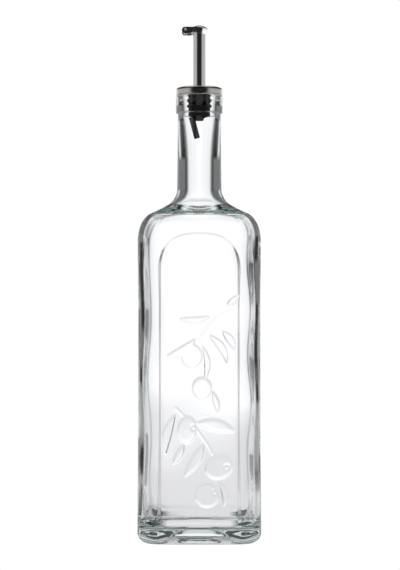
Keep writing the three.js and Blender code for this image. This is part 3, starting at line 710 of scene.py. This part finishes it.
def lid():
    """The round lid: a thin rim and a shallow dome, tilted a little."""
    sphere = (LID_RADIUS**2 + LID_RISE**2) / (2 * LID_RISE)
    edge = math.asin(LID_RADIUS / sphere)
    profile = [(0, 0), (LID_RADIUS - 0.3, 0), (LID_RADIUS - 0.08, 0.08), (LID_RADIUS, 0.25)]
    profile += [(LID_RADIUS, LID_RIM - 0.1)]
    steps = 18
    for k in range(1, steps + 1):
        a = edge * (1 - k / steps)
        profile.append((sphere * math.sin(a), LID_RIM + LID_RISE - sphere * (1 - math.cos(a))))
    piece = turned("lid", profile, 96, 50)
    tilt = UPRIGHT.rotation_difference(Vector((math.sin(LID_TILT), 0, math.cos(LID_TILT))))
    return move_mesh(piece, tilt, LID_CENTRE)


def eyelet(name, side):
    """A rolled ring through one side plate of the lever."""
    low, high = -EYELET_HALF_LENGTH, EYELET_HALF_LENGTH
    middle = (EYELET_RADIUS + EYELET_HOLE) / 2
    roll = (EYELET_RADIUS - EYELET_HOLE) / 2
    profile = arc((middle, low + roll), roll, 180, 360, 10) + arc((middle, high - roll), roll, 0, 180, 10)
    ring = turned(name, profile, 48, 60)
    centre = EYELET + Vector((0, side * (PLATE_INNER + PLATE_OUTER) / 2, 0))
    return move_mesh(ring, ALONG_Y, centre)


# Materials
def new_material(name):
    material = bpy.data.materials.new(name)
    material.use_nodes = True
    return material, material.node_tree, material.node_tree.nodes["Principled BSDF"]


def object_noise(tree, stretch, scale, detail=3):
    """Noise in the object's own space, stretched by a factor along each axis."""
    coordinates = tree.nodes.new("ShaderNodeTexCoord")
    mapping = tree.nodes.new("ShaderNodeMapping")
    mapping.inputs["Scale"].default_value = stretch
    noise = tree.nodes.new("ShaderNodeTexNoise")
    noise.inputs["Scale"].default_value = scale
    noise.inputs["Detail"].default_value = detail
    tree.links.new(coordinates.outputs["Object"], mapping.inputs["Vector"])
    tree.links.new(mapping.outputs["Vector"], noise.inputs["Vector"])
    return noise.outputs["Fac"]


def turned_noise(tree, scale, detail=2):
    """Noise that changes with height and distance from the axis alone, as a lathe's brushing does."""
    coordinates = tree.nodes.new("ShaderNodeTexCoord")
    parts = tree.nodes.new("ShaderNodeSeparateXYZ")
    flat = tree.nodes.new("ShaderNodeCombineXYZ")
    radius = tree.nodes.new("ShaderNodeVectorMath")
    radius.operation = "LENGTH"
    rebuilt = tree.nodes.new("ShaderNodeCombineXYZ")
    noise = tree.nodes.new("ShaderNodeTexNoise")
    noise.inputs["Scale"].default_value = scale
    noise.inputs["Detail"].default_value = detail
    links = tree.links
    links.new(coordinates.outputs["Object"], parts.inputs["Vector"])
    links.new(parts.outputs["X"], flat.inputs["X"])
    links.new(parts.outputs["Y"], flat.inputs["Y"])
    links.new(flat.outputs["Vector"], radius.inputs[0])
    links.new(radius.outputs["Value"], rebuilt.inputs["X"])
    links.new(parts.outputs["Z"], rebuilt.inputs["Z"])
    links.new(rebuilt.outputs["Vector"], noise.inputs["Vector"])
    return noise.outputs["Fac"]


def ramp(tree, value, stops):
    """A colour ramp through stops of (position, grey or colour)."""
    node = tree.nodes.new("ShaderNodeValToRGB")
    elements = node.color_ramp.elements
    elements.remove(elements[1])
    for index, (position, colour) in enumerate(stops):
        element = elements[0] if index == 0 else elements.new(position)
        element.position = position
        element.color = (*colour, 1) if isinstance(colour, tuple) else (colour, colour, colour, 1)
    tree.links.new(value, node.inputs["Fac"])
    return node.outputs["Color"]


def vary(tree, shader, name, value, stops):
    """Lets one input of the shader follow a value through a ramp."""
    tree.links.new(ramp(tree, value, stops), shader.inputs[name])


def bump(tree, shader, height, strength, distance):
    """Fine relief on a surface, with its height in metres."""
    node = tree.nodes.new("ShaderNodeBump")
    node.inputs["Strength"].default_value = strength
    node.inputs["Distance"].default_value = distance
    tree.links.new(height, node.inputs["Height"])
    tree.links.new(node.outputs["Normal"], shader.inputs["Normal"])


def glass_material():
    """Clear soda glass, faintly green where it is thick, with the slight waviness of moulding."""
    material, tree, shader = new_material("clear_glass")
    shader.inputs["Base Color"].default_value = (1, 1, 1, 1)
    shader.inputs["Roughness"].default_value = 0
    shader.inputs["IOR"].default_value = 1.5
    shader.inputs["Transmission Weight"].default_value = 1
    wave = object_noise(tree, (1, 1, 0.6), 60, 1)
    bump(tree, shader, wave, 0.15, 0.0004)
    absorb = tree.nodes.new("ShaderNodeVolumeAbsorption")
    absorb.inputs["Color"].default_value = (0.70, 0.86, 0.81, 1)
    absorb.inputs["Density"].default_value = 8
    tree.links.new(absorb.outputs["Volume"], tree.nodes["Material Output"].inputs["Volume"])
    return material


def brushed_steel_material():
    material, tree, shader = new_material("brushed_steel")
    lines = turned_noise(tree, 5200, 3)
    vary(tree, shader, "Base Color", lines, [(0.3, (0.66, 0.63, 0.61)), (0.7, (0.90, 0.87, 0.85))])
    vary(tree, shader, "Roughness", lines, [(0.3, 0.14), (0.75, 0.24)])
    shader.inputs["Metallic"].default_value = 1
    bump(tree, shader, lines, 0.05, 0.00002)
    return material


def tube_steel_material():
    material, tree, shader = new_material("drawn_steel")
    streaks = object_noise(tree, (1, 1, 0.02), 3200, 3)
    vary(tree, shader, "Base Color", streaks, [(0.3, (0.86, 0.84, 0.83)), (0.7, (0.95, 0.94, 0.93))])
    vary(tree, shader, "Roughness", streaks, [(0.3, 0.1), (0.8, 0.2)])
    shader.inputs["Metallic"].default_value = 1
    bump(tree, shader, streaks, 0.06, 0.00003)
    return material


def chrome_material():
    material, tree, shader = new_material("polished_steel")
    smudge = object_noise(tree, (1, 1, 1), 420, 4)
    vary(tree, shader, "Roughness", smudge, [(0.3, 0.02), (0.8, 0.06)])
    vary(tree, shader, "Base Color", smudge, [(0.2, (0.84, 0.84, 0.85)), (0.8, (0.93, 0.93, 0.94))])
    shader.inputs["Metallic"].default_value = 1
    return material


def rubber_material():
    material, tree, shader = new_material("black_rubber")
    grain = object_noise(tree, (1, 1, 1), 1500, 4)
    vary(tree, shader, "Base Color", grain, [(0.3, 0.002), (0.8, 0.004)])
    vary(tree, shader, "Roughness", grain, [(0.3, 0.3), (0.8, 0.45)])
    shader.inputs["Specular IOR Level"].default_value = 0.04
    bump(tree, shader, grain, 0.1, 0.00005)
    return material


def vent_material():
    material, tree, shader = new_material("dark_plastic")
    grain = object_noise(tree, (1, 1, 0.3), 900, 3)
    vary(tree, shader, "Base Color", grain, [(0.3, 0.02), (0.8, 0.045)])
    vary(tree, shader, "Roughness", grain, [(0.3, 0.35), (0.8, 0.5)])
    bump(tree, shader, grain, 0.1, 0.00005)
    return material


# The studio
def chain(tree, kind, inputs, **settings):
    """A shader node with its settings made and its inputs linked or set."""
    node = tree.nodes.new(kind)
    for key, value in settings.items():
        setattr(node, key, value)
    for key, value in inputs.items():
        if isinstance(value, bpy.types.NodeSocket):
            tree.links.new(value, node.inputs[key])
        else:
            node.inputs[key].default_value = value
    return node


def blend(tree, factor, a, b, blend_type="MIX"):
    """One colour over another."""
    node = chain(tree, "ShaderNodeMix", {}, data_type="RGBA", blend_type=blend_type)
    for key, value in (("Factor", factor), ("A", a), ("B", b)):
        if isinstance(value, bpy.types.NodeSocket):
            tree.links.new(value, node.inputs[key])
        elif key == "Factor":
            node.inputs[key].default_value = value
        else:
            node.inputs[key].default_value = (value, value, value, 1)
    return node.outputs["Result"]


def multiplied(tree, a, b):
    return blend(tree, 1.0, a, b, "MULTIPLY")


def worked_out(tree, operation, *values):
    """The result of one operation on the values."""
    return chain(tree, "ShaderNodeMath", dict(enumerate(values)), operation=operation).outputs["Value"]


def between(tree, value, low, high):
    """How far a value has come from low to high, from 0 to 1."""
    limits = {"Value": value, "From Min": low, "From Max": high}
    return chain(tree, "ShaderNodeMapRange", limits).outputs["Result"]


def bearing(tree, parts):
    """Direction round the bottle as a share of a turn: 0 in front, 0.25 left, 0.5 behind, 0.75 right."""
    turn = worked_out(tree, "ARCTAN2", parts.outputs["X"], parts.outputs["Y"])
    return between(tree, turn, -math.pi, math.pi)


# A soft bright card behind the bottle, and a dark front with grey sides and a bright back, each the
# same on both sides: (share of a turn, brightness)
GLOW_MIDDLE = [(0.4, 0.0), (0.43, 0.1), (0.46, 1.0), (0.5, 1.2), (0.54, 1.0), (0.57, 0.1), (0.6, 0.0)]
GLOW_IN_FRONT = [
    (0.0, 0.02), (0.1, 0.02), (0.15, 0.5), (0.35, 0.5), (0.4, 0.9), (0.6, 0.9), (0.65, 0.5), (0.85, 0.5),
    (0.9, 0.02), (1.0, 0.02),
]
# Upright strips at the sides and in front, from behind (0) to in front (1)
GLOW_STRIPS = [
    (0.36, 0.0), (0.37, 0.02), (0.43, 0.02), (0.44, 0.9), (0.6, 1.0), (0.61, 0.0), (0.68, 0.0),
    (0.69, 1.0), (0.76, 1.0), (0.77, 0.0), (0.88, 0.0), (0.9, 1.0), (1.0, 1.0),
]
# Stops up the sky, behind and in front: (sine of the height angle, brightness)
GLOW_BEHIND_UP = [(0.0, 1.0), (0.2, 1.0), (0.5, 0.7), (0.8, 0.9)]
GLOW_FRONT_UP = [(0.0, 1.0), (0.18, 1.0), (0.26, 0.1), (0.72, 0.08), (0.82, 0.9)]
# Where the top of the sky starts and is full, by the sine of the height angle, and its brightness
SKY_TOP = (0.5, 0.7)
SKY_TOP_GLOW = 0.95
# Stops round the table near the bottle: (share of a turn, brightness)
TABLE_BEARING = [
    (0.0, 1.1), (0.135, 1.1), (0.15, 0.1), (0.19, 0.1), (0.22, 0.8), (0.28, 0.8), (0.31, 0.1), (0.36, 0.1),
    (0.43, 0.7), (0.46, 1.0), (0.6, 1.0), (0.7, 0.7), (0.82, 0.75), (0.85, 1.1), (1.0, 1.1),
]
# Stops outward over the table: (distance from the axis over TABLE_REACH in metres, brightness)
TABLE_REACH = 2.4
TABLE_OUTWARD = [(0.0, 0.8), (1.0, 1.0)]
# Away from the bottle the table takes the sky's tones, darkened and then mixed with white
FAR_TABLE = 0.86
FAR_TABLE_WHITE = 0.4
# Metres from the axis where the far table starts and is full, and where the table turns into the sky
FAR_TABLE_FROM = (0.22, 0.5)
TABLE_ENDS = (0.6, 2.8)
# The table's shade under the base's thick corners, by the distance from the nearer axis over CORNER_REACH
CORNER_REACH = 0.06
CORNER_GREEN = (0.06, 0.1, 0.09)
CORNER_SHADE = [(0.0, 1.0), (0.34, 1.0), (0.44, CORNER_GREEN), (0.68, CORNER_GREEN), (0.78, 1.0), (1.0, 1.0)]
# The lists below go by how often a ray was reflected or crossed a surface, as a share of this number
COUNTED = 4.0
# How much of the light is left after 0, 1, 2 and more reflections inside the glass
INNER_DIM = [(0.0, 1.0), (0.25, 0.72), (0.5, 0.26), (0.75, 0.15), (1.0, 0.08)]
# How much is left by the number of surfaces crossed: two are the way straight through solid glass
SOLID_GLOW = [(0.0, 1.0), (0.3, 1.0), (0.4, 0.2), (0.6, 0.2), (0.7, 1.0)]
# The low sky's brightness for light that one or two reflections in the thick base turn towards the eye
BASE_GLOW = 0.24
BASE_HEIGHTS = [(0.03, 0.0), (0.06, 1.0), (0.45, 1.0), (0.55, 0.0)]
BASE_DEPTHS = [(0.0, 0.0), (0.25, 1.0), (0.5, 1.0), (0.75, 0.0)]
# How much of the light in front is left for rays that have been in the glass
FRONT_FROM_GLASS = 0.12
TINT = (0.965, 0.962, 0.985, 1)

# The light table, in millimetres, and how many times light may turn on its way through the glass
TABLE_HALF = 3000
TABLE_TOP_Z = -0.05
BOUNCES = 48


def tinted(tree, colour):
    """The light as it comes through glass is a little blue."""
    tint = tree.nodes.new("ShaderNodeRGB")
    tint.outputs["Color"].default_value = TINT
    return multiplied(tree, colour, tint.outputs["Color"])


def reflections(tree, path):
    """How often the ray was reflected, as a share of COUNTED."""
    return worked_out(tree, "DIVIDE", path.outputs["Glossy Depth"], COUNTED)


def past_solid(tree, path, colour):
    """Darkens what is seen straight through solid glass, where only two surfaces were crossed."""
    crossed = worked_out(tree, "DIVIDE", path.outputs["Transmission Depth"], COUNTED)
    turned_back = worked_out(tree, "MINIMUM", path.outputs["Glossy Depth"], 1.0)
    return multiplied(tree, colour, blend(tree, turned_back, ramp(tree, crossed, SOLID_GLOW), 1.0))


def less_from_glass(tree, path, colour):
    """Darkens the light in front for rays that have been in the glass."""
    inside = worked_out(tree, "MINIMUM", path.outputs["Transmission Depth"], 1.0)
    return blend(tree, inside, colour, multiplied(tree, colour, FRONT_FROM_GLASS))


def by_ray(tree, path, reflected, through):
    """White for the camera, and one tone each for light that is reflected and light through glass."""
    kinds = blend(tree, path.outputs["Is Transmission Ray"], reflected, through)
    return blend(tree, path.outputs["Is Camera Ray"], kinds, 1.0)


def behind_glow(tree, share):
    """The bright middle behind the bottle, and the strips at its sides."""
    turned_away = worked_out(tree, "ABSOLUTE", worked_out(tree, "SUBTRACT", share, 0.5))
    strips = ramp(tree, worked_out(tree, "MULTIPLY", turned_away, 2.0), GLOW_STRIPS)
    return blend(tree, 1.0, ramp(tree, share, GLOW_MIDDLE), strips, "ADD")


def sky(world):
    """White to the camera. For glass and steel it is bright behind, and darker beside and in front."""
    world.use_nodes = True
    tree = world.node_tree
    tree.nodes.clear()
    coordinates = tree.nodes.new("ShaderNodeTexCoord")
    path = tree.nodes.new("ShaderNodeLightPath")
    parts = chain(tree, "ShaderNodeSeparateXYZ", {"Vector": coordinates.outputs["Generated"]})
    share = bearing(tree, parts)
    height = parts.outputs["Z"]
    depth = reflections(tree, path)

    reflected = multiplied(tree, ramp(tree, share, GLOW_IN_FRONT), ramp(tree, height, GLOW_FRONT_UP))
    through = multiplied(tree, behind_glow(tree, share), ramp(tree, height, GLOW_BEHIND_UP))
    from_base = multiplied(tree, ramp(tree, height, BASE_HEIGHTS), ramp(tree, depth, BASE_DEPTHS))
    through = blend(tree, from_base, through, BASE_GLOW)
    through = multiplied(tree, through, ramp(tree, depth, INNER_DIM))
    top = between(tree, height, *SKY_TOP)
    through = blend(tree, top, past_solid(tree, path, through), SKY_TOP_GLOW)
    seen = by_ray(tree, path, less_from_glass(tree, path, reflected), tinted(tree, through))
    background = chain(tree, "ShaderNodeBackground", {"Color": seen})
    chain(tree, "ShaderNodeOutputWorld", {"Surface": background.outputs["Background"]})


def corner_shade(tree, parts):
    """Shades the places that are away from both of the table's axes, near the bottle."""
    across = worked_out(tree, "ABSOLUTE", parts.outputs["X"])
    along = worked_out(tree, "ABSOLUTE", parts.outputs["Y"])
    near = worked_out(tree, "LESS_THAN", worked_out(tree, "MAXIMUM", across, along), CORNER_REACH)
    share = worked_out(tree, "DIVIDE", worked_out(tree, "MINIMUM", across, along), CORNER_REACH)
    return blend(tree, near, 1.0, ramp(tree, share, CORNER_SHADE))


def table_tone(tree, parts, radius, share):
    """The table's tone through glass, from the bottle out to where it turns into the sky."""
    darkened = multiplied(tree, behind_glow(tree, share), FAR_TABLE)
    beyond = blend(tree, FAR_TABLE_WHITE, darkened, 1.0)
    tone = blend(tree, between(tree, radius, *FAR_TABLE_FROM), ramp(tree, share, TABLE_BEARING), beyond)
    outward = worked_out(tree, "DIVIDE", radius, TABLE_REACH)
    tone = multiplied(tree, tone, ramp(tree, outward, TABLE_OUTWARD))
    return multiplied(tree, tone, corner_shade(tree, parts))


def floor():
    """A light table: white to the camera, and darker near the bottle through its glass."""
    size = TABLE_HALF
    corners = [(x, y, TABLE_TOP_Z) for x, y in ((-size, -size), (size, -size), (size, size), (-size, size))]
    table = make_piece("floor", corners, [(0, 1, 2, 3)])
    material = bpy.data.materials.new("light_table")
    material.use_nodes = True
    tree = material.node_tree
    tree.nodes.clear()
    coordinates = tree.nodes.new("ShaderNodeTexCoord")
    path = tree.nodes.new("ShaderNodeLightPath")
    spot = coordinates.outputs["Object"]
    parts = chain(tree, "ShaderNodeSeparateXYZ", {"Vector": spot})
    radius = chain(tree, "ShaderNodeVectorMath", {0: spot}, operation="LENGTH").outputs["Value"]
    share = bearing(tree, parts)

    end = between(tree, radius, *TABLE_ENDS)
    tone = blend(tree, end, table_tone(tree, parts, radius, share), behind_glow(tree, share))
    dimmed = multiplied(tree, tone, ramp(tree, reflections(tree, path), INNER_DIM))
    tone = blend(tree, end, tone, dimmed)
    through = tinted(tree, past_solid(tree, path, tone))
    reflected = less_from_glass(tree, path, ramp(tree, share, GLOW_IN_FRONT))
    seen = by_ray(tree, path, reflected, through)
    glow = chain(tree, "ShaderNodeEmission", {"Color": seen})
    chain(tree, "ShaderNodeOutputMaterial", {"Surface": glow.outputs["Emission"]})
    table.data.materials.append(material)


def studio():
    scene = bpy.context.scene
    scene.world = bpy.data.worlds.new("studio")
    sky(scene.world)
    floor()
    scene.view_settings.view_transform = "Standard"
    scene.cycles.max_bounces = BOUNCES
    scene.cycles.transmission_bounces = BOUNCES
    scene.cycles.glossy_bounces = BOUNCES


def camera():
    data = bpy.data.cameras.new("camera")
    data.lens = LENS
    data.sensor_width = SENSOR_WIDTH
    eye = bpy.data.objects.new("camera", data)
    eye.location = EYE
    eye.rotation_euler = (math.pi / 2 + EYE_PITCH, 0, 0)
    bpy.context.scene.collection.objects.link(eye)
    bpy.context.scene.camera = eye


def place(piece, body, node, material):
    """Gives a piece its material, and lets it stand for its CAD node."""
    piece.data.materials.clear()
    piece.data.materials.append(material)
    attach(piece, body)
    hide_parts(node)


def build():
    glass, brushed, drawn = glass_material(), brushed_steel_material(), tube_steel_material()
    chrome, rubber, vent = chrome_material(), rubber_material(), vent_material()
    place(bottle(), "bottle_body", "bottle", glass)
    place(flange(), "bottle_body", "flange", brushed)
    place(plug(), "bottle_body", "plug", rubber)
    place(air_tube(), "bottle_body", "air_tube", vent)
    place(spout_tube(), "bottle_body", "spout_tube", drawn)
    place(hinge_pin(), "bottle_body", "hinge_pin", drawn)
    place(lever(), "lid_body", "flap", chrome)
    place(lid(), "lid_body", "flap", chrome)
    place(eyelet("eyelet_ring_near", -1), "lid_body", "eyelet_near", chrome)
    place(eyelet("eyelet_ring_far", 1), "lid_body", "eyelet_far", chrome)


camera()
studio()
build()
